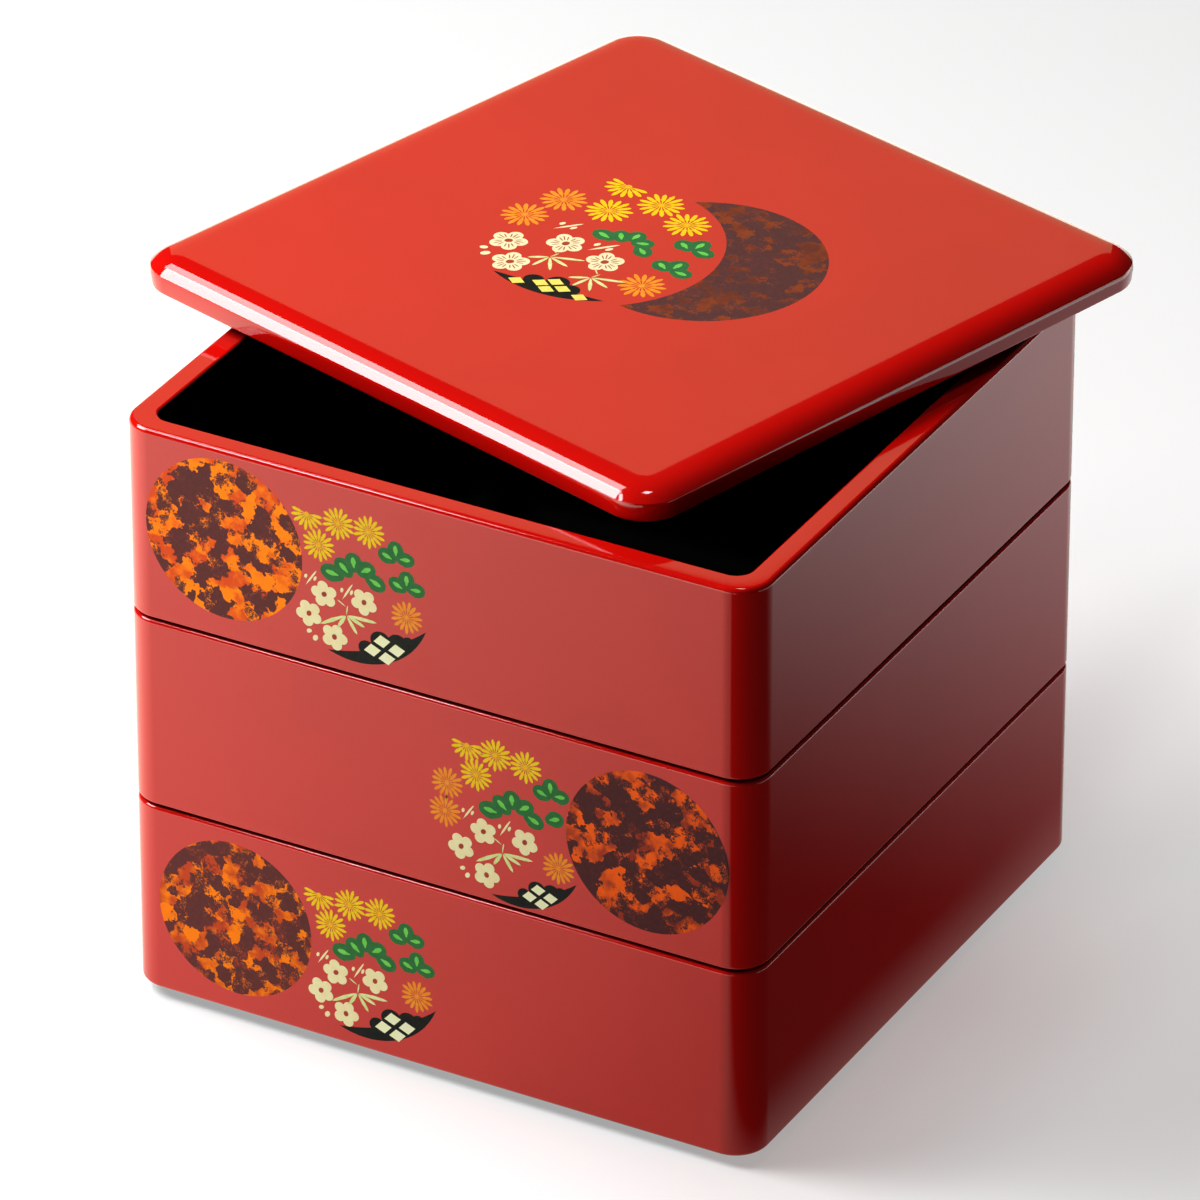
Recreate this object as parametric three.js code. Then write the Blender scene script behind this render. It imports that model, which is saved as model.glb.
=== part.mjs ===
// A square tiered food box in red lacquer: three stacking tiers, black inside, and a lid
// that lies askew on the rim of the top tier. Millimetres, +Z up. The origin is the middle
// of the underside of the bottom tier's foot, and the decorated front faces -Y.
import * as THREE from "three";

// Plan of the tiers
const BOX_WIDTH = 195;
const BOX_DEPTH = 195;
const CORNER_RADIUS = 10;
const WALL = 7.2;
const MOUTH_CORNER_RADIUS = 5;

// The tiers from below, and the heights of one: its walls, its floor board, and the foot that
// drops into the mouth of the tier below
const TIER_NAMES = ["bottom_tier", "middle_tier", "top_tier"];
const TIER_HEIGHT = 58.9;
const FLOOR_THICKNESS = 5;
const FOOT_DEPTH = 3;

// Clearances: the foot in the mouth below it, and the gap where two pieces rest on each other
const SEAT_CLEARANCE = 0.6;
const REST_GAP = 0.3;

// Roundings of a tier: rim outside and inside, lower edge, the foot's edge, floor to wall inside
const RIM_ROUNDING = 1.0;
const MOUTH_ROUNDING = 0.6;
const LOWER_EDGE_ROUNDING = 1.2;
const FOOT_ROUNDING = 0.8;
const FLOOR_COVE = 3.5;

// No corner of a plan is drawn sharper than this
const SHARPEST_CORNER = 0.3;

// Lid: how far it stands out past the tiers, its upright band, and the rounded crown above it
const LID_OVERHANG = 1.7;
const LID_CORNER_RADIUS = 12.8;
const LID_BAND_HEIGHT = 5.6;
const LID_BAND_TAPER = 0.4;
const LID_CROWN_RISE = 3.4;
const LID_CROWN_RUN = 11;
const LID_EDGE_ROUNDING = 0.8;

// Ridge under the lid that seats in the mouth of the top tier
const RIDGE_DEPTH = 3.2;
const RIDGE_WIDTH = 6;
const RIDGE_ROUNDING = 0.6;

// How the lid lies on the rim: turned clockwise and pushed back, seen from above
const LID_TURN = THREE.MathUtils.degToRad(-16);
const LID_SHIFT_X = -8.6;
const LID_SHIFT_Y = 35.2;

// Fineness of the curves: half the facets of a corner, and the facets of a rounded edge or crown
const CORNER_DIVISIONS = 4;
const EDGE_FACETS = 3;
const CROWN_FACETS = 7;

const QUARTER_TURN = Math.PI / 2;

// Sizes that follow from the ones above
const MOUTH_WIDTH = BOX_WIDTH - 2 * WALL;
const MOUTH_DEPTH = BOX_DEPTH - 2 * WALL;
const SEAT_WIDTH = MOUTH_WIDTH - 2 * SEAT_CLEARANCE;
const SEAT_DEPTH = MOUTH_DEPTH - 2 * SEAT_CLEARANCE;
const SEAT_CORNER_RADIUS = MOUTH_CORNER_RADIUS - SEAT_CLEARANCE;
const TIER_PITCH = TIER_HEIGHT + REST_GAP;
const RIM_HEIGHT = FOOT_DEPTH + TIER_NAMES.length * TIER_PITCH - REST_GAP;

const redLacquer = () => new THREE.MeshStandardMaterial({ color: 0xb0231a, roughness: 0.12, metalness: 0 });

// A rounded rectangle drawn inward from a plan by an inset, at a height
function section(plan, inset, z) {
  const width = plan.width - 2 * inset;
  const depth = plan.depth - 2 * inset;
  return { width, depth, radius: Math.max(plan.radius - inset, SHARPEST_CORNER), z };
}

function sectionPoints({ width, depth, radius, z }) {
  const x = width / 2 - radius;
  const y = depth / 2 - radius;
  const outline = new THREE.Path();
  outline.absarc(x, y, radius, 0, QUARTER_TURN);
  outline.absarc(-x, y, radius, QUARTER_TURN, 2 * QUARTER_TURN);
  outline.absarc(-x, -y, radius, 2 * QUARTER_TURN, 3 * QUARTER_TURN);
  outline.absarc(x, -y, radius, 3 * QUARTER_TURN, 4 * QUARTER_TURN);
  return outline.getPoints(CORNER_DIVISIONS).map((point) => new THREE.Vector3(point.x, point.y, z));
}

// Joins a run of sections into one closed solid. The first is closed by a face that looks down,
// and the last by one that looks up.
function loft(sections) {
  const rings = sections.map(sectionPoints);
  const count = rings[0].length;
  const faces = [];
  for (let ring = 0; ring + 1 < rings.length; ring += 1) {
    for (let side = 0; side < count; side += 1) {
      const next = (side + 1) % count;
      const low = ring * count;
      const high = low + count;
      faces.push(low + side, low + next, high + next);
      faces.push(low + side, high + next, high + side);
    }
  }
  const cap = THREE.ShapeUtils.triangulateShape(rings[0].map((point) => new THREE.Vector2(point.x, point.y)), []);
  const last = (rings.length - 1) * count;
  for (const [a, b, c] of cap) {
    faces.push(a, c, b);
    faces.push(last + a, last + b, last + c);
  }
  const geometry = new THREE.BufferGeometry().setFromPoints(rings.flat());
  geometry.setIndex(faces);
  geometry.computeVertexNormals();
  return geometry;
}

// The quarter circle of a rounded edge as pairs of inset and rise. Angle 0 lies on the upright
// side of the edge, and a quarter turn on its level side.
function roundedEdge(radius, fromAngle, toAngle) {
  const steps = Array.from({ length: EDGE_FACETS + 1 }, (_, step) => step / EDGE_FACETS);
  return steps.map((share) => {
    const angle = THREE.MathUtils.lerp(fromAngle, toAngle, share);
    return { inset: radius * (1 - Math.cos(angle)), rise: radius * Math.sin(angle) };
  });
}

function addMesh(group, name, geometry) {
  const mesh = new THREE.Mesh(geometry, redLacquer());
  mesh.name = name;
  group.add(mesh);
  return mesh;
}

// One tier, its lower edge at height 0 and its foot below that
function tierGeometry() {
  const body = { width: BOX_WIDTH, depth: BOX_DEPTH, radius: CORNER_RADIUS };
  const mouth = { width: MOUTH_WIDTH, depth: MOUTH_DEPTH, radius: MOUTH_CORNER_RADIUS };
  const foot = { width: SEAT_WIDTH, depth: SEAT_DEPTH, radius: SEAT_CORNER_RADIUS };
  const floor = FLOOR_THICKNESS - FOOT_DEPTH;
  const upward = [QUARTER_TURN, 0];
  const over = [0, QUARTER_TURN];
  return loft([
    ...roundedEdge(FOOT_ROUNDING, ...upward).map(
      ({ inset, rise }) => section(foot, inset, FOOT_ROUNDING - FOOT_DEPTH - rise)),
    section(foot, 0, 0),
    ...roundedEdge(LOWER_EDGE_ROUNDING, ...upward).map(
      ({ inset, rise }) => section(body, inset, LOWER_EDGE_ROUNDING - rise)),
    ...roundedEdge(RIM_ROUNDING, ...over).map(
      ({ inset, rise }) => section(body, inset, TIER_HEIGHT - RIM_ROUNDING + rise)),
    ...roundedEdge(MOUTH_ROUNDING, ...upward).map(
      ({ inset, rise }) => section(mouth, -inset, TIER_HEIGHT - MOUTH_ROUNDING + rise)),
    ...roundedEdge(FLOOR_COVE, ...over).map(
      ({ inset, rise }) => section(mouth, inset, floor + FLOOR_COVE - rise)),
  ]);
}

// The lid, with the bottom of its ridge at height 0
function lidGeometry() {
  const plan = {
    width: BOX_WIDTH + 2 * LID_OVERHANG,
    depth: BOX_DEPTH + 2 * LID_OVERHANG,
    radius: LID_CORNER_RADIUS,
  };
  const ridge = { width: SEAT_WIDTH, depth: SEAT_DEPTH, radius: SEAT_CORNER_RADIUS };
  const hollow = {
    width: SEAT_WIDTH - 2 * RIDGE_WIDTH,
    depth: SEAT_DEPTH - 2 * RIDGE_WIDTH,
    radius: SEAT_CORNER_RADIUS,
  };
  const underside = RIDGE_DEPTH;
  const crease = underside + LID_BAND_HEIGHT;
  const crown = Array.from({ length: CROWN_FACETS + 1 }, (_, step) => (QUARTER_TURN * step) / CROWN_FACETS);
  return loft([
    section(hollow, 0, underside),
    section(hollow, 0, 0),
    ...roundedEdge(RIDGE_ROUNDING, QUARTER_TURN, 0).map(
      ({ inset, rise }) => section(ridge, inset, RIDGE_ROUNDING - rise)),
    section(ridge, 0, underside),
    ...roundedEdge(LID_EDGE_ROUNDING, QUARTER_TURN, 0).map(
      ({ inset, rise }) => section(plan, LID_BAND_TAPER + inset, underside + LID_EDGE_ROUNDING - rise)),
    ...crown.map((angle) => section(
      plan,
      LID_CROWN_RUN * (1 - Math.cos(angle)),
      crease + LID_CROWN_RISE * Math.sin(angle),
    )),
  ]);
}

function buildTiers(group) {
  TIER_NAMES.forEach((name, level) => {
    const tier = addMesh(group, name, tierGeometry());
    tier.position.z = FOOT_DEPTH + level * TIER_PITCH;
  });
}

function buildLid(group) {
  const lid = addMesh(group, "lid", lidGeometry());
  lid.position.set(LID_SHIFT_X, LID_SHIFT_Y, RIM_HEIGHT + REST_GAP);
  lid.rotation.z = LID_TURN;
}

const foodBox = new THREE.Group();
buildTiers(foodBox);
buildLid(foodBox);

export default foodBox;
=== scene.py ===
import math

import bmesh
import bpy
from mathutils import Matrix, Vector


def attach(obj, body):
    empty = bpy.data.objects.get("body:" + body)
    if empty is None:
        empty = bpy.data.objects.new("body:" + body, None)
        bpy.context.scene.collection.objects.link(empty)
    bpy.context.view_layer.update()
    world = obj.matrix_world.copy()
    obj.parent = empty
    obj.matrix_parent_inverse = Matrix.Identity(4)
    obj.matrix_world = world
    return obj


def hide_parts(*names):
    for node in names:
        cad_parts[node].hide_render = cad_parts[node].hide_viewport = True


# A tiered food box in red lacquer: three stacked tiers, black inside, and a lid that lies askew
# on the top one. Metres, +Z up, the decorated front faces -Y.

MM = 0.001
QUARTER = math.pi / 2
TURN = 2 * math.pi

# The painted ornament stands this far off the lacquer, so the lacquer is drawn in by as much
PAINT_DEPTH = 0.06 * MM

# Plan of a tier, of its mouth, and of the foot that seats in the mouth below
HALF, CORNER = 97.5 * MM, 10 * MM
MOUTH_HALF, MOUTH_CORNER = 90.3 * MM, 5 * MM
SEAT_HALF, SEAT_CORNER = 89.7 * MM, 4.4 * MM
SHARPEST_CORNER = 0.3 * MM

# The tiers from below, and the heights of one. Its side starts SEAM_LIFT higher, for a wider dark seam.
TIER_NAMES = ("bottom_tier", "middle_tier", "top_tier")
TIER_HEIGHT = 58.9 * MM
TIER_PITCH = 59.2 * MM
FOOT_DEPTH = 3 * MM
FLOOR_THICKNESS = 5 * MM
SEAM_LIFT = 0.35 * MM

# Roundings of a tier
OPEN_RIM_ROUNDING = 1.5 * MM
COVERED_RIM_ROUNDING = 1.1 * MM
MOUTH_ROUNDING = 0.9 * MM
LOWER_EDGE_ROUNDING = 1.2 * MM
FOOT_ROUNDING = 0.8 * MM
FLOOR_COVE = 3.5 * MM

# Lid: its band leans in by the taper below, and a narrow shoulder leads over to the crown
LID_HALF, LID_CORNER = 99.2 * MM, 12.8 * MM
LID_BAND = 5.6 * MM
LID_TAPER = 0.4 * MM
LID_EDGE_ROUNDING = 0.8 * MM
CROWN_RISE, CROWN_RUN = 3.4 * MM, 11 * MM
CROWN_FULLNESS = 3.2
SHOULDER_HEIGHT, SHOULDER_RUN = 1.3 * MM, 0.28 * MM
RIDGE_DEPTH = 3.2 * MM
RIDGE_WIDTH = 6 * MM
RIDGE_ROUNDING = 0.6 * MM

# Where the lid lies
LID_BASE = 180.6 * MM
LID_TURN = math.radians(-16)
LID_SHIFT = Vector((-8.6 * MM, 35.2 * MM, 0))

# How far the black reaches over the edge of a mouth, up the lower edge of a tier, and up the lid's. Up the
# lower edge of a tier the black is painted shade that darkens the seam.
BLACK_OVER_MOUTH = 0.15 * MM
PAINTED_SEAM_SHADE_UP_TIER = 0.45 * MM
BLACK_UP_LID = 0.1 * MM

# Steps of the curves
CORNER_STEPS = 20
EDGE_STEPS = 5
RIM_STEPS = 8
COVE_STEPS = 6
CROWN_STEPS = 26

# A new ring is drawn this far above the last one, joined to it, and lowered to its place
CLEAR_ABOVE = 1.0

# Edges that turn by less are shaded smooth, and large faces lead in the shading
SMOOTH_BELOW = math.radians(28)
LARGE_FACE_WEIGHT = 80

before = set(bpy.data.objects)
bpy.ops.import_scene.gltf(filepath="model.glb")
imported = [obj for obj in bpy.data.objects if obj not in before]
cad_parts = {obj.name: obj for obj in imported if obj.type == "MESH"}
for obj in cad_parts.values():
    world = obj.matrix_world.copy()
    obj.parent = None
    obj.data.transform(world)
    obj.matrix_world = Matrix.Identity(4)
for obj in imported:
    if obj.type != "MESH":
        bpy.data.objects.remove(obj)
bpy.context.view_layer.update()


# Modelling by hand

def deselect_all():
    bpy.ops.object.select_all(action="DESELECT")


def make_active(piece):
    deselect_all()
    piece.select_set(True)
    bpy.context.view_layer.objects.active = piece


def open_piece(name, finishes=()):
    """A new empty piece, open in edit mode, that rings or touches of the brush are added to."""
    deselect_all()
    bpy.ops.mesh.primitive_plane_add(size=1)
    piece = bpy.context.active_object
    piece.name = piece.data.name = name
    for finish in finishes:
        piece.data.materials.append(finish)
    bpy.ops.object.mode_set(mode="EDIT")
    bpy.context.tool_settings.mesh_select_mode = (True, False, False)
    bpy.ops.mesh.delete(type="VERT")
    return piece


def close_piece():
    bpy.ops.object.mode_set(mode="OBJECT")
    return bpy.context.active_object


def number_new_ring(number):
    """Marks the vertices that no ring has yet as one ring of a stack."""
    mesh = bpy.context.active_object.data
    shape = bmesh.from_edit_mesh(mesh)
    rings = shape.verts.layers.int.get("ring") or shape.verts.layers.int.new("ring")
    for vert in shape.verts:
        if vert[rings] == 0:
            vert[rings] = number
    bmesh.update_edit_mesh(mesh, loop_triangles=False, destructive=False)


def pick_rings(*numbers):
    """Selects the rings with these numbers and nothing else."""
    bpy.ops.mesh.select_all(action="DESELECT")
    mesh = bpy.context.active_object.data
    shape = bmesh.from_edit_mesh(mesh)
    rings = shape.verts.layers.int["ring"]
    for vert in shape.verts:
        vert.select_set(vert[rings] in numbers)
    shape.select_flush_mode()
    bmesh.update_edit_mesh(mesh, loop_triangles=False, destructive=False)


def rounded_square(half, corner, height):
    bpy.ops.mesh.primitive_plane_add(size=2 * half, location=(0, 0, height))
    bpy.ops.mesh.bevel(offset=corner, offset_type="OFFSET", segments=CORNER_STEPS, affect="VERTICES")
    bpy.ops.mesh.delete(type="ONLY_FACE")


def stack_of_rings(name, sections):
    """A closed body through rounded squares, each given as half width, corner radius and height."""
    open_piece(name)
    for number, (half, corner, height) in enumerate(sections, start=1):
        bpy.ops.mesh.select_all(action="DESELECT")
        rounded_square(half, corner, height + CLEAR_ABOVE)
        number_new_ring(number)
        if number > 1:
            pick_rings(number - 1, number)
            bpy.ops.mesh.bridge_edge_loops()
        pick_rings(number)
        bpy.ops.transform.translate(value=(0, 0, -CLEAR_ABOVE))
    for end in (1, len(sections)):
        pick_rings(end)
        bpy.ops.mesh.edge_face_add()
    bpy.ops.mesh.select_all(action="SELECT")
    bpy.ops.mesh.normals_make_consistent(inside=False)
    return close_piece()


def section(half, corner, inset, height):
    return half - inset, max(corner - inset, SHARPEST_CORNER), height


def rounding(half, corner, height, radius, start, end, steps, inward=1, rise=1):
    """Sections of a rounded edge. Angle 0 is its upright side, and a quarter turn its level side."""
    found = []
    for step in range(steps + 1):
        angle = start + (end - start) * step / steps
        inset = inward * radius * (1 - math.cos(angle))
        found.append(section(half, corner, inset, height + rise * radius * math.sin(angle)))
    return found


def lower_edge(half, corner, bottom, radius):
    """Sections up a rounded lower edge."""
    return rounding(half, corner, bottom + radius, radius, QUARTER, 0, EDGE_STEPS, rise=-1)


def tier_sections(base, rim):
    """Sections of a tier from its foot up its outside, over the rim and down to its floor."""
    half, corner = HALF - PAINT_DEPTH, CORNER - PAINT_DEPTH
    foot_top = base + SEAM_LIFT
    top = base + TIER_HEIGHT
    cove_top = base - FOOT_DEPTH + FLOOR_THICKNESS + FLOOR_COVE
    return [
        *lower_edge(SEAT_HALF, SEAT_CORNER, base - FOOT_DEPTH, FOOT_ROUNDING),
        (SEAT_HALF, SEAT_CORNER, foot_top),
        *lower_edge(half, corner, foot_top, LOWER_EDGE_ROUNDING),
        *rounding(half, corner, top - rim, rim, 0, QUARTER, RIM_STEPS),
        *rounding(MOUTH_HALF, MOUTH_CORNER, top - MOUTH_ROUNDING, MOUTH_ROUNDING, QUARTER, 0, EDGE_STEPS,
                  inward=-1),
        *rounding(MOUTH_HALF, MOUTH_CORNER, cove_top, FLOOR_COVE, 0, QUARTER, COVE_STEPS, rise=-1),
    ]


def lid_sections():
    """Sections of the lid from inside its ridge, out under its edge and over the crown."""
    half, corner = LID_HALF - PAINT_DEPTH, LID_CORNER - PAINT_DEPTH
    underside = LID_BASE + RIDGE_DEPTH
    crease = underside + LID_BAND
    hollow = SEAT_HALF - RIDGE_WIDTH
    crown = []
    for step in range(CROWN_STEPS + 1):
        share = step / CROWN_STEPS
        inset = SHOULDER_RUN + (CROWN_RUN - SHOULDER_RUN) * share
        rise = (CROWN_RISE - PAINT_DEPTH) * (1 - (1 - share) ** CROWN_FULLNESS)
        crown.append(section(half, corner, inset, crease + rise))
    return [
        (hollow, SEAT_CORNER, underside),
        (hollow, SEAT_CORNER, LID_BASE),
        *lower_edge(SEAT_HALF, SEAT_CORNER, LID_BASE, RIDGE_ROUNDING),
        (SEAT_HALF, SEAT_CORNER, underside),
        *lower_edge(half - LID_TAPER, corner - LID_TAPER, underside, LID_EDGE_ROUNDING),
        (half, corner, crease - SHOULDER_HEIGHT),
        *crown,
    ]


def smooth(piece):
    make_active(piece)
    bpy.ops.object.shade_smooth_by_angle(angle=SMOOTH_BELOW, keep_sharp_edges=True)
    modifier = piece.modifiers.new("even shading", "WEIGHTED_NORMAL")
    modifier.mode = "FACE_AREA"
    modifier.keep_sharp = True
    modifier.weight = LARGE_FACE_WEIGHT
    bpy.ops.object.modifier_apply(modifier=modifier.name)


def past_square(place, half, corner):
    """How far a place lies outside a rounded square, seen from above. Inside it is below 0."""
    x, y = abs(place.x) - half + corner, abs(place.y) - half + corner
    return math.hypot(max(x, 0), max(y, 0)) + min(max(x, y), 0) - corner


def lacquer(piece, red, black, is_black):
    """Red all over, but black on the faces whose middle passes the test."""
    piece.data.materials.append(red)
    piece.data.materials.append(black)
    for face in piece.data.polygons:
        if is_black(face.center):
            face.material_index = 1


# Shader writing

class Socket:
    """A value in a node tree that can be added, subtracted and multiplied like a number."""

    def __init__(self, tree, output):
        self.tree = tree
        self.output = output

    def _maths(self, operation, *others):
        return Shader(self.tree).node("ShaderNodeMath", {"operation": operation}, *others)

    def __add__(self, other):
        return self._maths("ADD", self, other)

    def __radd__(self, other):
        return self._maths("ADD", other, self)

    def __sub__(self, other):
        return self._maths("SUBTRACT", self, other)

    def __rsub__(self, other):
        return self._maths("SUBTRACT", other, self)

    def __mul__(self, other):
        return self._maths("MULTIPLY", self, other)

    def __rmul__(self, other):
        return self._maths("MULTIPLY", other, self)


class Shader:
    """Writes the nodes of one material."""

    def __init__(self, tree):
        self.tree = tree

    def node(self, kind, settings=None, *values, output=0, **named):
        """A node with its settings, and its sockets' values or links by order or by name."""
        made = self.tree.nodes.new(kind)
        for key, value in (settings or {}).items():
            setattr(made, key, value)
        for index, value in enumerate(values):
            self.feed(made.inputs[index], value)
        for key, value in named.items():
            self.feed(made.inputs[key.replace("_", " ")], value)
        return Socket(self.tree, made.outputs[output])

    def feed(self, socket, value):
        if isinstance(value, Socket):
            self.tree.links.new(value.output, socket)
        elif value is not None:
            socket.default_value = value

    def place(self):
        """Where the shaded point is on the piece, in millimetres."""
        coordinates = self.node("ShaderNodeTexCoord", None, output="Object")
        return self.node("ShaderNodeVectorMath", {"operation": "SCALE"}, coordinates, Scale=1 / MM)

    def part(self, place, letter):
        return self.node("ShaderNodeSeparateXYZ", None, place, output=letter)

    def noise(self, place, scale, detail=2.0, roughness=0.5, output="Fac"):
        return self.node("ShaderNodeTexNoise", None, Vector=place, Scale=scale, Detail=detail,
                         Roughness=roughness, output=output)

    def ramp(self, value, low, high, to_low=0.0, to_high=1.0):
        """An even swing from one value to another, level past both ends."""
        return self.node("ShaderNodeMapRange", {"interpolation_type": "SMOOTHSTEP"}, value, low, high,
                         to_low, to_high)

    def mix(self, factor, first, second):
        """Mixes colours. The five sockets between are the node's numbers and vectors."""
        return self.node("ShaderNodeMix", {"data_type": "RGBA"}, factor, *[None] * 5, first, second, output=2)


# Of what is seen of a paint, SHEEN is the gloss on top of it, and the paint is lit by LIT of full light
SHEEN, LIT = 0.006, 0.80
DARKEST, PALEST = 0.003, 0.92


def seen_as(red, green, blue):
    """The paint that is seen, sheen and all, as the given colour, 0 to 255."""
    def linear(value):
        value /= 255
        seen = value / 12.92 if value <= 0.04045 else ((value + 0.055) / 1.055) ** 2.4
        return min(max((seen - SHEEN) / LIT, DARKEST), PALEST)
    return linear(red), linear(green), linear(blue), 1.0


# Finishes: roughness and refraction of each, and the faint waves that all of them have
LACQUER_ROUGH, LACQUER_REFRACTION = 0.06, 1.54
LINING_ROUGH, LINING_REFRACTION = 0.12, 1.22
PAINT_ROUGH, PAINT_REFRACTION = 0.4, 1.18
WAVE_DEPTH, WAVE_STRENGTH = 0.004 * MM, 0.12


def material(name, look_of, rough, refraction):
    """A finish. look_of(shader, place) gives its colour and how metallic it is."""
    made = bpy.data.materials.new(name)
    made.use_nodes = True
    shader = Shader(made.node_tree)
    principled = made.node_tree.nodes["Principled BSDF"]
    place = shader.place()
    colour, metal = look_of(shader, place)
    shader.feed(principled.inputs["Base Color"], colour)
    shader.feed(principled.inputs["Metallic"], metal)
    wear = shader.noise(place, 0.05, 3.0)
    shader.feed(principled.inputs["Roughness"], wear * (0.5 * rough) + 0.75 * rough)
    principled.inputs["IOR"].default_value = refraction
    waves = shader.noise(place, 0.03, 2.0)
    bump = shader.node("ShaderNodeBump", None, Strength=WAVE_STRENGTH, Distance=WAVE_DEPTH, Height=waves)
    shader.feed(principled.inputs["Normal"], bump)
    return made


def red_lacquer():
    deep, clear = (0.58, 0.0026, 0.0012, 1), (0.62, 0.0036, 0.0018, 1)

    def look(shader, place):
        cloud = shader.noise(place, 0.018, 3.0)
        return shader.mix(shader.ramp(cloud, 0.3, 0.7), deep, clear), 0
    return material("red lacquer", look, LACQUER_ROUGH, LACQUER_REFRACTION)


def black_lacquer():
    deep, brownish = (0.0010, 0.0010, 0.0010, 1), (0.0025, 0.0020, 0.0020, 1)

    def look(shader, place):
        return shader.mix(shader.noise(place, 0.03, 3.0), deep, brownish), 0
    return material("black lacquer", look, LINING_ROUGH, LINING_REFRACTION)


# The box

def make_tier(level, name, red, black):
    base = FOOT_DEPTH + level * TIER_PITCH
    rim = OPEN_RIM_ROUNDING if name == TIER_NAMES[-1] else COVERED_RIM_ROUNDING
    piece = stack_of_rings(name + "_lacquered", tier_sections(base, rim))

    def is_black(place):
        inside = past_square(place, MOUTH_HALF, MOUTH_CORNER) < BLACK_OVER_MOUTH
        # The underside is black, and the black up the lower edge above it is painted shade that darkens the
        # seam
        underside_and_seam_shade = place.z < base + SEAM_LIFT + PAINTED_SEAM_SHADE_UP_TIER
        return inside or underside_and_seam_shade
    lacquer(piece, red, black, is_black)
    smooth(piece)
    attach(piece, "root")
    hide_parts(name)


def make_lid(red, black):
    piece = stack_of_rings("lid_lacquered", lid_sections())
    lacquer(piece, red, black, lambda place: place.z < LID_BASE + RIDGE_DEPTH + BLACK_UP_LID)
    smooth(piece)
    piece.data.transform(Matrix.Translation(LID_SHIFT) @ Matrix.Rotation(LID_TURN, 4, "Z"))
    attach(piece, "root")
    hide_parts("lid")


# The painted ornament. Its figures are modelled flat, in millimetres, and laid on a face of the box.

TIER_FACE = Matrix(((1, 0, 0, 0), (0, 0, -1, -(HALF - PAINT_DEPTH)), (0, 1, 0, 0), (0, 0, 0, 1)))
LID_TOP = Vector((0, 0, LID_BASE + RIDGE_DEPTH + LID_BAND + CROWN_RISE - PAINT_DEPTH))
LID_FACE = Matrix.Translation(LID_SHIFT + LID_TOP) @ Matrix.Rotation(LID_TURN, 4, "Z")

# Heights of the paint above the lacquer: what is laid first, and what lies on it. Dabs that lap over
# each other rise by a hair.
FIRST, SECOND = 0.018 * MM, 0.036 * MM
HAIR = 0.002 * MM
PAINT_BODY = 0.08 * MM

# A figure's second paint, for hearts, stamens, light needles and tiles
ACCENT = 1

# How far from a dab's middle its two ends start, as a part of its length
DAB_END = 0.2

# Petals of a chrysanthemum
PETALS = 15
PETAL_START, PETAL_END, PETAL_WIDTH = 0.6, 4.9, 0.9
PETAL_UNEVENNESS = 0.25

# Pine sprays as lobes: place, length, width and turn in degrees
PINE_SPRAY = ((-7.2, -2.0, 6.6, 4.8, 174), (-3.6, 0.6, 6.0, 4.6, 138), (-0.6, 3.0, 5.4, 4.8, 96),
              (3.2, 1.6, 5.6, 4.7, 32), (6.0, -1.4, 6.0, 4.5, -24))
PINE_SPRIG = ((-2.6, 0.3, 5.2, 4.2, 160), (0.0, 2.6, 5.2, 4.4, 95), (2.9, 0.6, 5.2, 4.0, 8))
PINE_LOBE = ((0, 0, 5.4, 4.4, 20),)

# Bamboo leaves: length and turn in degrees
LEAVES = ((9.5, 211), (5.1, 238), (6.1, 303), (6.1, 339), (9.4, 1))
LID_LEAVES = ((6.2, 225), (6.9, 269), (7.7, 315), (7.5, 355), (9.9, 31))

# Clouds: the two tips, how far the outer and the inner line bow out between them, the round bumps as
# place and size, and the places of the tiles
CLOUD = {
    "tips": ((-10.4, -22.5), (19.9, -8.7)),
    "bows": (6.9, 2.4),
    "bumps": ((1.5, -18.8, 5.0), (5.9, -15.5, 6.4), (11.2, -14.9, 6.2), (14.4, -13.6, 3.6)),
    "tiles": ((6.31, -15.39), (3.34, -18.87), (10.83, -17.0), (7.77, -20.29)),
}
LID_CLOUD = {
    "tips": ((-9.5, -32.3), (24.3, -23.6)),
    "bows": (4.9, 0.3),
    "bumps": ((2.0, -28.2, 6.0), (8.0, -24.9, 7.0), (13.4, -25.6, 5.8)),
    "tiles": ((-0.99, -31.85), (4.6, -28.19), (7.39, -25.02), (8.29, -29.76), (11.51, -26.57),
              (18.14, -26.81)),
}
BOW_STEPS = 26
TILE_REACH, TILE_LEAN = 2.3, 13

# Roundels: each figure with its place, turn in degrees and scale. The first is beside the flecked disc
# on its left, the second has the disc on its right, and the third is half ringed by the crescent.
SIDE_ROUNDEL = (
    ("half", -16.4, 17.7), ("yellow", -6.8, 17.3, 4), ("yellow", 2.6, 17.3, 9), ("yellow", -12.9, 9.1, 14),
    ("orange", 14.0, -5.8, 6), ("spray", -1.6, 3.6), ("sprig", 10.8, 11.2), ("sprig", 13.9, 2.9, -4),
    ("plum", -11.4, -5.7, 10), ("plum", -16.2, -12.9, 28), ("plum", -8.4, -18.1, 52),
    ("plum", 0.9, -4.8, 35), ("leaves", -4.6, -10.3), ("twig", -15.4, -1.7, 0, 0.95),
    ("twig", -4.2, -3.0, 3), ("bud", -16.2, -18.3), ("bud", -14.3, -20.0, 30, 1.2), ("cloud", 0, 0),
)
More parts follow.
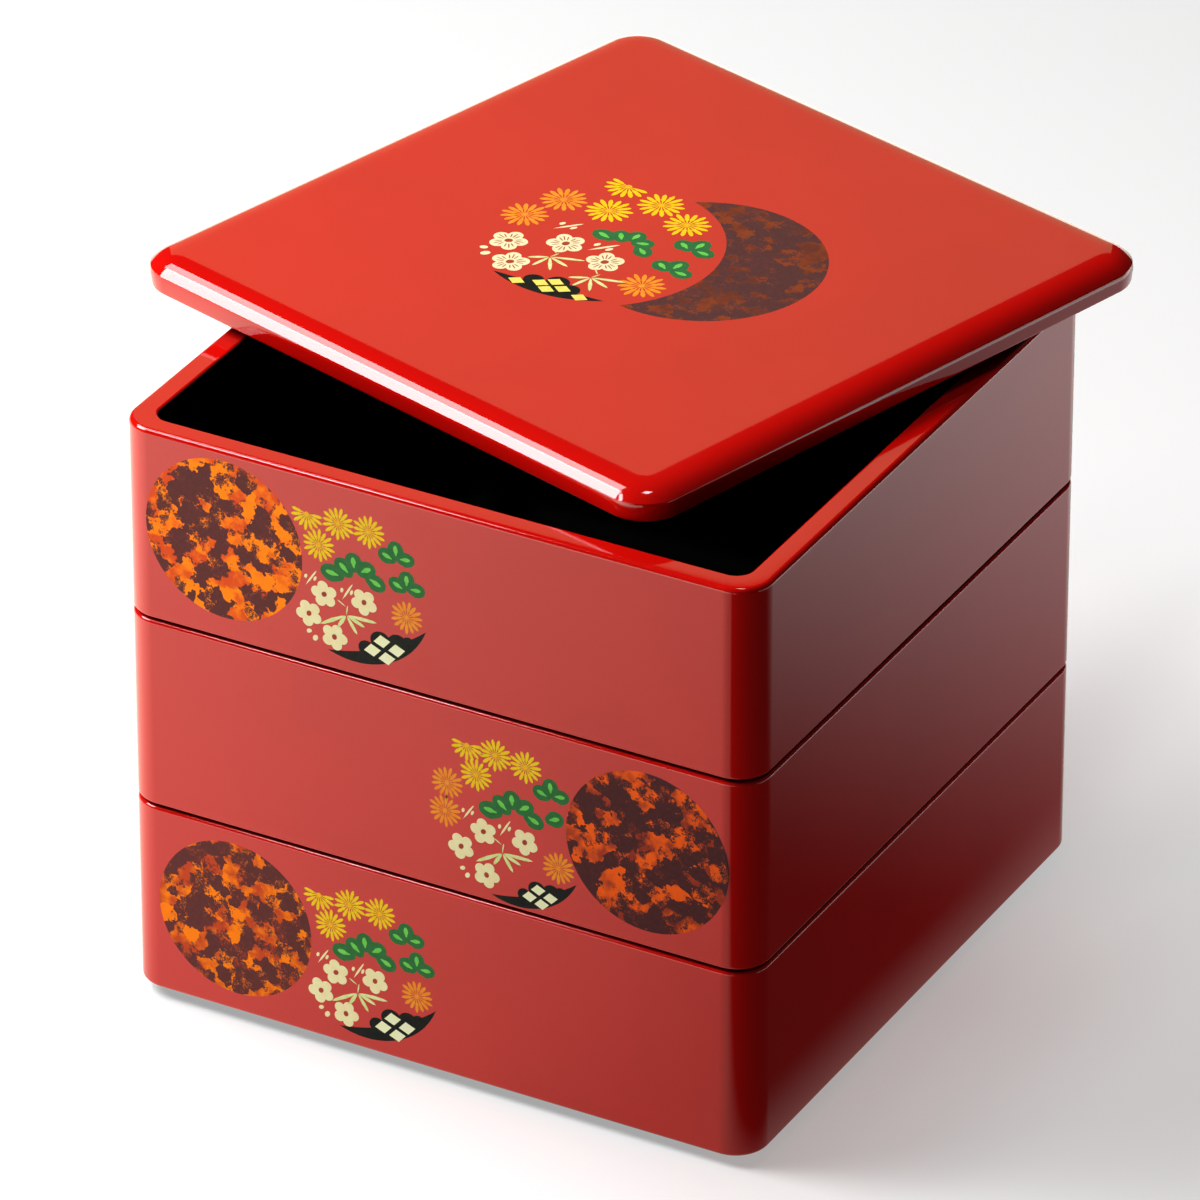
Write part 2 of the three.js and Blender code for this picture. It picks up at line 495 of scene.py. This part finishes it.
MIDDLE_ROUNDEL = (
    ("half", -10.9, 21.1, 5), ("yellow", -2.2, 20.4, 4), ("yellow", 7.0, 19.3, 9),
    ("yellow", -8.2, 12.6, 14), ("orange", -17.1, 7.6, 3), ("orange", -17.8, -1.4, 11),
    ("orange", 17.0, -9.4, 6), ("spray", 3.4, 4.8), ("sprig", 14.6, 12.4), ("lobe", 15.8, 5.5),
    ("plum", -6.0, -4.6, 10), ("plum", -12.9, -11.2, 28), ("plum", -5.1, -18.0, 52), ("plum", 6.7, -4.3, 35),
    ("leaves", -0.2, -9.7), ("twig", -10.6, 0.2, 0, 0.95), ("twig", 0.7, -1.6, 3), ("bud", -12.5, -17.9),
    ("bud", -11.0, -19.8, 30, 1.1), ("cloud", 6.0, -4.8, -2.5, 0.85),
)
BIG = 1.36
LID_ROUNDEL = (
    ("half", -17.4, 28.4, 8, BIG), ("yellow", -3.2, 26.8, 4, BIG), ("yellow", -11.3, 14.5, 9, BIG),
    ("yellow", 9.9, 23.6, 14, BIG), ("orange", -24.8, 10.4, 3, BIG), ("orange", -26.3, -3.4, 11, BIG),
    ("orange", 25.6, -10.1, 6, BIG), ("spray", 5.4, 5.6, 0, 1.06), ("sprig", 20.9, 14.2, 0, 1.2),
    ("sprig", 24.7, 1.6, 0, 1.2), ("fine_plum", -18.75, -17.14, 10, BIG),
    ("fine_plum", -9.82, -25.51, 28, BIG), ("fine_plum", -6.31, -7.4, 52, BIG),
    ("fine_plum", 8.84, -7.56, 35, BIG), ("lid_leaves", -3.95, -15.91), ("lid_leaves", 12.42, -16.54, -3),
    ("twig", -12.9, 0.2, 5, 1.35), ("twig", 2.7, -1.8, 5, 1.45), ("bud", -20.9, -24.6, 0, 1.4),
    ("bud", -18.2, -26.7, 30, 1.7), ("lid_cloud", 0, 0),
)

# Gold flakes: how metallic the leaf is, how much of a crumb is leaf, and how far its edges are torn, in
# millimetres
LEAF_METAL = 0.4
CRUMB_SHARE = 0.8
TEAR = 4.2


def dab(x, y, length, width, turn, height, slot=0, root=1.0, tip=1.0, sides=14):
    """One touch of the brush, an oval about x and y that points along turn. root and tip narrow or
    widen its two ends."""
    sheet = bpy.context.active_object
    bpy.ops.mesh.select_all(action="DESELECT")
    bpy.ops.mesh.primitive_circle_add(vertices=sides, radius=0.5 * MM, fill_type="NGON")
    sheet.active_material_index = slot
    bpy.ops.object.material_slot_assign()
    bpy.ops.transform.rotate(value=QUARTER, orient_axis="Z", center_override=(0, 0, 0))
    bpy.ops.transform.resize(value=(length, width, 1), center_override=(0, 0, 0))
    shape = bmesh.from_edit_mesh(sheet.data)
    new = [vert for vert in shape.verts if vert.select]
    for share, way in ((root, -1), (tip, 1)):
        if share == 1.0:
            continue
        for vert in new:
            vert.select_set(way * vert.co.x > DAB_END * length * MM)
        bmesh.update_edit_mesh(sheet.data, loop_triangles=False, destructive=False)
        bpy.ops.transform.resize(value=(1, share, 1), center_override=(0, 0, 0))
    for vert in new:
        vert.select_set(True)
    shape.select_flush_mode()
    bmesh.update_edit_mesh(sheet.data, loop_triangles=False, destructive=False)
    bpy.ops.transform.rotate(value=-turn, orient_axis="Z", center_override=(0, 0, 0))
    bpy.ops.transform.translate(value=(x * MM, y * MM, height))


def ray_dab(x, y, turn, near, far, width, height, **more):
    """A dab that points away from x and y, from near to far."""
    reach = (near + far) / 2
    dab(x + reach * math.cos(turn), y + reach * math.sin(turn), far - near, width, turn, height, **more)


def chrysanthemum(name, paints, petals=range(PETALS)):
    open_piece(name, paints)
    for petal in petals:
        end = PETAL_END + PETAL_UNEVENNESS * math.sin(petal * 2.4)
        ray_dab(0, 0, TURN * petal / PETALS, PETAL_START, end, PETAL_WIDTH, FIRST, root=0.45, tip=1.3,
                sides=18)
    dab(0, 0, 1.45, 1.45, 0, SECOND, slot=ACCENT, sides=18)
    return close_piece()


def plum(name, paints, stamens=()):
    """Five petals round a heart, and stamens on each at the given sides."""
    open_piece(name, paints)
    dab(0, 0, 3.8, 3.8, 0, FIRST, sides=20)
    for petal in range(5):
        turn = TURN * (petal / 5 + 0.05)
        x, y = 2.35 * math.cos(turn), 2.35 * math.sin(turn)
        dab(x, y, 3.4, 3.3, turn, FIRST + (petal + 1) * HAIR, sides=20)
        for side in stamens:
            ray_dab(0, 0, turn + side * 0.34, 1.3, 3.3 - 0.4 * abs(side), 0.26, SECOND, slot=ACCENT, sides=8)
    dab(0, 0, 1.75, 1.5, 0.6, SECOND + HAIR, slot=ACCENT, sides=14)
    return close_piece()


def pine(name, paints, lobes):
    """A spray of needles as overlapping lobes, each with a light streak."""
    open_piece(name, paints)
    for step, (x, y, length, width, turn) in enumerate(lobes):
        turn = math.radians(turn)
        dab(x, y, 1.12 * length, 1.14 * width, turn, FIRST + step * HAIR, sides=22, root=0.85)
        dab(x, y, 0.62 * length, 0.32 * width, turn, SECOND, slot=ACCENT, root=0.6, sides=12)
    return close_piece()


def bamboo(name, paints, leaves):
    """Leaves that hang from one node, with a bent stem."""
    open_piece(name, paints)
    for step, (length, turn) in enumerate(leaves):
        ray_dab(0, 0, math.radians(turn), 0.3, length, 1.15, FIRST + step * HAIR, root=0.8, sides=8)
    ray_dab(0, 0, math.radians(82), 0.0, 3.2, 0.42, FIRST + 8 * HAIR, root=0.7, sides=8)
    ray_dab(-0.1, 2.6, math.radians(150), 0.0, 2.9, 0.4, FIRST + 9 * HAIR, root=0.7, sides=8)
    return close_piece()


def twig(name, paints):
    """A bare twig that leans, with a bud on either side."""
    open_piece(name, paints)
    dab(0, 0, 6.6, 0.62, math.radians(57), FIRST, root=0.35, sides=10)
    dab(-1.7, 0.2, 1.5, 0.95, math.radians(70), FIRST, sides=12)
    dab(1.3, 0.1, 1.7, 0.85, math.radians(65), FIRST, sides=12)
    return close_piece()


def bud(name, paints):
    open_piece(name, paints)
    dab(0, 0, 1.7, 1.25, 0.5, FIRST, sides=14)
    return close_piece()


def bow(start, end, depth):
    """A bowed line of points from start to end, which bows out to the right of its way."""
    start, end = Vector((*start, 0)) * MM, Vector((*end, 0)) * MM
    half = (end - start).length / 2
    radius = (half ** 2 + (depth * MM) ** 2) / (2 * depth * MM)
    along = (end - start).normalized()
    aside = Vector((along.y, -along.x, 0))
    centre = (start + end) / 2 + (depth * MM - radius) * aside
    bpy.ops.mesh.select_all(action="DESELECT")
    bpy.ops.mesh.primitive_plane_add(size=0.1 * MM, location=start)
    bpy.ops.mesh.merge(type="CENTER")
    # With no window a spin turns the other way too
    bpy.ops.mesh.spin(steps=BOW_STEPS, angle=-2 * math.asin(half / radius), center=centre, axis=(0, 0, 1))


def tile(x, y, height, slot):
    """A slanted pane whose sides lean as on a diamond tile."""
    sheet = bpy.context.active_object
    bpy.ops.mesh.select_all(action="DESELECT")
    bpy.ops.mesh.primitive_circle_add(vertices=4, radius=TILE_REACH * MM, fill_type="NGON")
    sheet.active_material_index = slot
    bpy.ops.object.material_slot_assign()
    bpy.ops.transform.resize(value=(1.16, 0.84, 1), center_override=(0, 0, 0))
    bpy.ops.transform.rotate(value=-math.radians(TILE_LEAN), orient_axis="Z", center_override=(0, 0, 0))
    bpy.ops.transform.translate(value=(x * MM, y * MM, height))


def cloud(name, paints, tips, bows, bumps, tiles):
    """A dark cloud along the roundel's edge: a crescent from tip to tip with round bumps and pale tiles."""
    open_piece(name, paints)
    for depth in bows:
        bow(*tips, depth)
    bpy.ops.mesh.select_all(action="SELECT")
    bpy.ops.mesh.bridge_edge_loops()
    bpy.ops.mesh.select_all(action="SELECT")
    bpy.ops.mesh.remove_doubles(threshold=0.01 * MM)
    bpy.ops.mesh.normals_make_consistent(inside=False)
    bpy.ops.transform.translate(value=(0, 0, FIRST))
    for step, (x, y, size) in enumerate(bumps):
        dab(x, y, size, 0.94 * size, 0, FIRST + (step + 1) * HAIR, sides=28)
    for x, y in tiles:
        tile(x, y, SECOND, ACCENT)
    return close_piece()


def stamp(figure, x, y, turn=0.0, scale=1.0):
    """A copy of a figure, with its own mesh, at its place in a roundel."""
    copy = figure.copy()
    copy.data = figure.data.copy()
    bpy.context.collection.objects.link(copy)
    copy.data.transform(Matrix.Translation((x * MM, y * MM, 0)) @ Matrix.Rotation(math.radians(turn), 4, "Z")
                        @ Matrix.Diagonal((scale, scale, 1, 1)))
    return copy


def lay_on(name, sheets, x, y, face):
    """Joins flat sheets into one piece, gives the paint its body, and lays it on a face of the box."""
    make_active(sheets[0])
    for sheet in sheets:
        sheet.select_set(True)
    if len(sheets) > 1:
        bpy.ops.object.join()
    piece = bpy.context.active_object
    piece.name = piece.data.name = name
    body = piece.modifiers.new("body of the paint", "SOLIDIFY")
    body.thickness = PAINT_BODY
    body.offset = -1
    bpy.ops.object.modifier_apply(modifier=body.name)
    piece.data.transform(face @ Matrix.Translation((x * MM, y * MM, 0)))
    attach(piece, "root")
    return piece


def roundel(name, figures, marks, x, y, face):
    lay_on(name, [stamp(figures[figure], *where) for figure, *where in marks], x, y, face)


def flecked_disc(name, flakes, x, y, radius, face, bite=None):
    """A disc of gold flakes. bite is the circle, x, y and radius, that is cut out of it."""
    sheet = open_piece(name, (flakes,))
    bpy.ops.mesh.primitive_circle_add(vertices=180, radius=radius * MM, fill_type="NGON",
                                      location=(0, 0, FIRST - 4 * HAIR))
    close_piece()
    piece = lay_on(name, [sheet], x, y, face)
    if bite:
        bite_x, bite_y, bite_radius = bite
        bpy.ops.mesh.primitive_cylinder_add(vertices=220, radius=bite_radius * MM, depth=10 * MM)
        cutter = bpy.context.active_object
        cutter.data.transform(face @ Matrix.Translation((bite_x * MM, bite_y * MM, 0)))
        cut = piece.modifiers.new("bite", "BOOLEAN")
        cut.object = cutter
        cut.operation = "DIFFERENCE"
        cut.solver = "EXACT"
        make_active(piece)
        bpy.ops.object.modifier_apply(modifier=cut.name)
        bpy.data.objects.remove(cutter)


def brushed_paint(name, first, second, scale=0.6):
    """A paint that wavers between two colours."""
    def look(shader, place):
        waver = shader.ramp(shader.noise(place, scale, 3.0, 0.6), 0.3, 0.7)
        return shader.mix(waver, seen_as(*first), seen_as(*second)), 0
    return material(name, look, PAINT_ROUGH, PAINT_REFRACTION)


def flecks(name, ground, dark_gold, bright_gold, bareness, shift):
    """Torn gold leaf in dark lacquer: ragged pieces over the ground, with fine crumbs round them. Less
    is covered as bareness grows, and shift takes the pattern from another place."""
    def look(shader, place):
        moved = shader.node("ShaderNodeVectorMath", {"operation": "ADD"}, place, shift)
        drift = shader.noise(moved, 0.5, 3.0, output="Color")
        torn = shader.node("ShaderNodeVectorMath", {"operation": "MULTIPLY_ADD"}, drift, [TEAR] * 3, moved)
        piece = shader.node("ShaderNodeTexVoronoi", None, Vector=torn, Scale=0.23, output="Color")
        chance = shader.node("ShaderNodeSeparateColor", None, piece, output="Red")
        tone = shader.node("ShaderNodeSeparateColor", None, piece, output="Green")
        fray = shader.noise(moved, 1.3, 5.0, 0.7)
        body = shader.noise(torn, 0.27, 1.0) * 0.42 + chance * 0.30 + fray * 0.28
        leaf = shader.ramp(body, bareness, bareness + 0.008)
        near = shader.ramp(body, bareness - 0.08, bareness - 0.02)
        crumb = shader.ramp(shader.noise(moved, 3.0, 3.0, 0.7), 0.53, 0.55) * near
        shade = shader.ramp(shader.noise(moved, 0.28, 3.0) * 0.9 + tone * 0.35, 0.42, 0.80)
        gold = shader.mix(shade, seen_as(*dark_gold), seen_as(*bright_gold))
        darker = [0.8 * part for part in ground]
        base = shader.mix(shader.noise(moved, 0.9, 3.0), seen_as(*ground), seen_as(*darker))
        return shader.mix(leaf, shader.mix(crumb * CRUMB_SHARE, base, gold), gold), leaf * LEAF_METAL
    return material(name, look, PAINT_ROUGH, PAINT_REFRACTION)


def make_figures():
    """The figures, each modelled once."""
    yellow = (brushed_paint("golden yellow paint", (252, 182, 14), (254, 192, 34)),
              brushed_paint("yellow heart paint", (240, 160, 14), (248, 178, 34), 1.2))
    orange = (brushed_paint("orange paint", (238, 128, 34), (244, 144, 48)),
              brushed_paint("orange heart paint", (236, 120, 28), (244, 150, 60), 1.2))
    cream = brushed_paint("cream paint", (250, 216, 172), (246, 206, 160))
    blossom = (cream, brushed_paint("red brown paint", (164, 66, 48), (144, 56, 42)))
    needles = (brushed_paint("deep green paint", (44, 98, 56), (50, 106, 60)),
               brushed_paint("light green paint", (90, 180, 72), (112, 192, 86)))
    straw = brushed_paint("pale leaf paint", (190, 204, 128), (214, 214, 156))
    night = brushed_paint("cloud black paint", (26, 27, 27), (33, 33, 32))
    straw_tile = brushed_paint("straw tile paint", (252, 248, 196), (250, 242, 176))
    amber_tile = brushed_paint("amber tile paint", (250, 212, 104), (246, 198, 86))
    return {
        "yellow": chrysanthemum("yellow_flower", yellow),
        "orange": chrysanthemum("orange_flower", orange),
        "half": chrysanthemum("cut_flower", yellow, range(7, 16)),
        "plum": plum("plum", blossom),
        "fine_plum": plum("fine_plum", blossom, stamens=(-1, 0, 1)),
        "spray": pine("pine_spray", needles, PINE_SPRAY),
        "sprig": pine("pine_sprig", needles, PINE_SPRIG),
        "lobe": pine("pine_lobe", needles, PINE_LOBE),
        "leaves": bamboo("bamboo", (straw,), LEAVES),
        "lid_leaves": bamboo("lid_bamboo", (straw,), LID_LEAVES),
        "twig": twig("twig", (cream,)),
        "cloud": cloud("cloud", (night, straw_tile), **CLOUD),
        "lid_cloud": cloud("lid_cloud", (night, amber_tile), **LID_CLOUD),
        "bud": bud("bud", (cream,)),
    }


def make_ornament():
    figures = make_figures()
    bright = flecks("bright gold flakes", (98, 50, 50), (184, 66, 32), (238, 114, 14), 0.54, (0, 0, 0))
    deep = flecks("deep gold flakes", (80, 42, 44), (134, 50, 38), (216, 84, 28), 0.545, (31, 7, 3))
    warm = flecks("warm gold flakes", (98, 50, 50), (170, 62, 36), (238, 112, 18), 0.53, (57, 9, 41))
    dusk = flecks("dusky gold flakes", (90, 54, 54), (110, 54, 44), (146, 66, 38), 0.55, (11, 83, 5))
    flecked_disc("top_tier_flecked_disc", bright, -64.05, 152.86, 24.3, TIER_FACE)
    flecked_disc("middle_tier_flecked_disc", deep, 65.38, 92.46, 24.6, TIER_FACE)
    flecked_disc("bottom_tier_flecked_disc", warm, -62.87, 33.38, 24.1, TIER_FACE)
    flecked_disc("lid_flecked_crescent", dusk, 16.33, 7.67, 34.25, LID_FACE, bite=(-12.9, -6.1, 36.8))
    roundel("top_tier_roundel", figures, SIDE_ROUNDEL, -21.66, 150.26, TIER_FACE)
    roundel("middle_tier_roundel", figures, MIDDLE_ROUNDEL, 21.43, 88.94, TIER_FACE)
    roundel("bottom_tier_roundel", figures, SIDE_ROUNDEL, -19.73, 31.27, TIER_FACE)
    roundel("lid_roundel", figures, LID_ROUNDEL, -11.3, -4.3, LID_FACE)
    for figure in figures.values():
        bpy.data.objects.remove(figure)


# Studio

# The camera's heading and dip, its distance, and where it aims from the box's middle: aside and up
HEADING, DIP = math.radians(28.7362), math.radians(30.1764)
CAMERA_DISTANCE = 2.95497
AIM_ASIDE, AIM_UP = -1.99 * MM, 85.88 * MM
LENS, SENSOR = 316.41, 36

# Painted light on the paper, as a glow that lifts its shade: in front, in the box's shade, tinted pink there
# as a painted bounce from the red box, out to the right, and further back
FRONT_GLOW, PAINTED_LIGHT_IN_SHADE = (0.37, 0.37, 0.37, 1), (0.39, 0.355, 0.35, 1)
SIDE_GLOW, BACK_GLOW = (0.48, 0.47, 0.47, 1), (0.52, 0.52, 0.52, 1)
PAPER, PAPER_CLOUD = (0.65, 0.65, 0.65, 1), (0.67, 0.67, 0.67, 1)

# How bright the lacquer's surroundings are at the places named, and how warm on the left
IN_FRONT, FAR_LEFT = 0.56, 2.15
BESIDE_IN_SHADOW, BEHIND = 0.02, 1.12
BLUE_ON_LEFT = 0.84

# The lights aim at this place. The softboxes lie along SWEEP.
LIT_PLACE = Vector((0, 0, 0.15))
SWEEP = (-0.221, -0.799, -0.557)
ROOM_GLOW = 0.02


def make_camera():
    right = Vector((math.cos(HEADING), math.sin(HEADING), 0))
    forward = Vector((-math.sin(HEADING) * math.cos(DIP), math.cos(HEADING) * math.cos(DIP), -math.sin(DIP)))
    up = right.cross(forward)
    aim = Vector((0, 0, FOOT_DEPTH)) + AIM_ASIDE * right + AIM_UP * up
    bpy.ops.object.camera_add(location=aim - CAMERA_DISTANCE * forward, rotation=(QUARTER - DIP, 0, HEADING))
    camera = bpy.context.active_object
    camera.data.sensor_width = SENSOR
    camera.data.lens = LENS
    camera.data.clip_start = 0.05
    camera.data.clip_end = 50
    bpy.context.scene.camera = camera


def make_light(name, direction, distance, size, brightness, along=(0, 0, 1), tint=(1, 1, 1)):
    """A soft light of a given size and brightness that faces the box. along is the way of its height."""
    facing = Vector(direction).normalized()
    bpy.ops.object.light_add(type="AREA", location=LIT_PLACE + distance * facing)
    lamp = bpy.context.active_object
    lamp.name = name
    lamp.data.shape = "RECTANGLE"
    lamp.data.size, lamp.data.size_y = size
    lamp.data.energy = brightness * math.pi * size[0] * size[1]
    lamp.data.color = tint
    upright = Vector(along)
    upright = (upright - upright.dot(facing) * facing).normalized()
    lamp.rotation_euler = Matrix((upright.cross(facing), upright, facing)).transposed().to_euler()


def sheet_on_ground(name, size, height):
    """A stage sheet, and what its look is written with: shader, principled node, place, and its x and y."""
    bpy.ops.mesh.primitive_plane_add(size=size, location=(0, 0, height))
    sheet = bpy.context.active_object
    sheet.name = sheet.data.name = name
    made = bpy.data.materials.new(name)
    sheet.data.materials.append(made)
    made.use_nodes = True
    principled = made.node_tree.nodes["Principled BSDF"]
    principled.inputs["Emission Strength"].default_value = 1
    shader = Shader(made.node_tree)
    place = shader.place()
    return sheet, shader, principled, place, shader.part(place, "X"), shader.part(place, "Y")


def make_floor():
    """The pale paper that is seen. Its glow is painted light that lifts and tints its shade."""
    floor, shader, principled, place, x, y = sheet_on_ground("floor", 8, -0.05 * MM)
    shader.feed(principled.inputs["Base Color"], shader.mix(shader.noise(place, 0.004), PAPER, PAPER_CLOUD))
    # Painted light: the glow lifts the shade beside the box, pink there as a painted bounce, and grows out to
    # the right and further back
    glow = shader.mix(shader.ramp(x, 110.0, 170.0), PAINTED_LIGHT_IN_SHADE, SIDE_GLOW)
    glow = shader.mix(shader.ramp(y, 0.0, 110.0), glow, BACK_GLOW)
    glow = shader.mix(shader.ramp(x, 60.0, 105.0), FRONT_GLOW, glow)
    shader.feed(principled.inputs["Emission Color"], glow)
    principled.inputs["Roughness"].default_value = 0.9
    principled.inputs["Specular IOR Level"].default_value = 0.1
    floor.visible_diffuse = floor.visible_glossy = floor.visible_transmission = floor.visible_shadow = False


def make_reflector():
    """The bright sheet that the lacquer mirrors and is lit by. It is dark beside the right face of the
    box, as painted shadow where the box shades the floor, brighter again behind that, and brightest on the
    left."""
    sheet, shader, principled, place, x, y = sheet_on_ground("reflector", 30, -0.1 * MM)
    left = shader.node("ShaderNodeMapRange", None, x, 60.0, -300.0, IN_FRONT, FAR_LEFT)
    # Dark beside the right face: painted shadow where the box shades the floor
    right = shader.ramp(y, 30.0, 400.0, BESIDE_IN_SHADOW, BEHIND) * shader.ramp(x, 380.0, 560.0, 1.0, 0.0)
    beside = shader.ramp(x, 84.0, 116.0)
    glow = left * (1 - beside) + right * beside
    blue = glow * (BLUE_ON_LEFT + (1 - BLUE_ON_LEFT) * beside)
    colour = shader.node("ShaderNodeCombineXYZ", None, glow, glow, blue)
    shader.feed(principled.inputs["Emission Color"], colour)
    principled.inputs["Base Color"].default_value = (0, 0, 0, 1)
    principled.inputs["Specular IOR Level"].default_value = 0
    sheet.data.materials[0].cycles.emission_sampling = "NONE"
    sheet.visible_camera = False


def make_studio():
    world = bpy.data.worlds.new("studio")
    world.use_nodes = True
    background = world.node_tree.nodes["Background"]
    background.inputs["Color"].default_value = (1, 1, 1, 1)
    background.inputs["Strength"].default_value = ROOM_GLOW
    bpy.context.scene.world = world
    make_light("left softbox", (-0.70, -0.25, 0.665), distance=1.2, size=(0.46, 0.64), brightness=17,
               along=SWEEP)
    make_light("left softbox edge", (-0.612, 0.092, 0.785), distance=1.2, size=(0.46, 0.32), brightness=8,
               along=SWEEP)
    make_light("front strip light", (-0.45, -0.40, 0.80), distance=1.2, size=(0.12, 0.36), brightness=17,
               along=(0, 1, 0))
    make_light("top spot", (0.03, 0.04, 1.0), distance=1.5, size=(0.23, 0.23), brightness=14, along=(0, 1, 0))
    make_light("low light on the right", (0.42, 0.22, -0.11), distance=0.47, size=(0.80, 0.08),
               brightness=1.8)
    make_light("low light in front", (-0.02, -0.48, -0.11), distance=0.50, size=(0.50, 0.08), brightness=1.6)
    make_light("back panel", (-0.4636, 0.8457, 0.2639), distance=6.0, size=(2.88, 3.42), brightness=0.56,
               tint=(1, 0.95, 0.55))
    bpy.context.scene.view_settings.view_transform = "Standard"


def main():
    make_camera()
    red, black = red_lacquer(), black_lacquer()
    for level, name in enumerate(TIER_NAMES):
        make_tier(level, name, red, black)
    make_lid(red, black)
    make_ornament()
    make_floor()
    make_reflector()
    make_studio()


main()
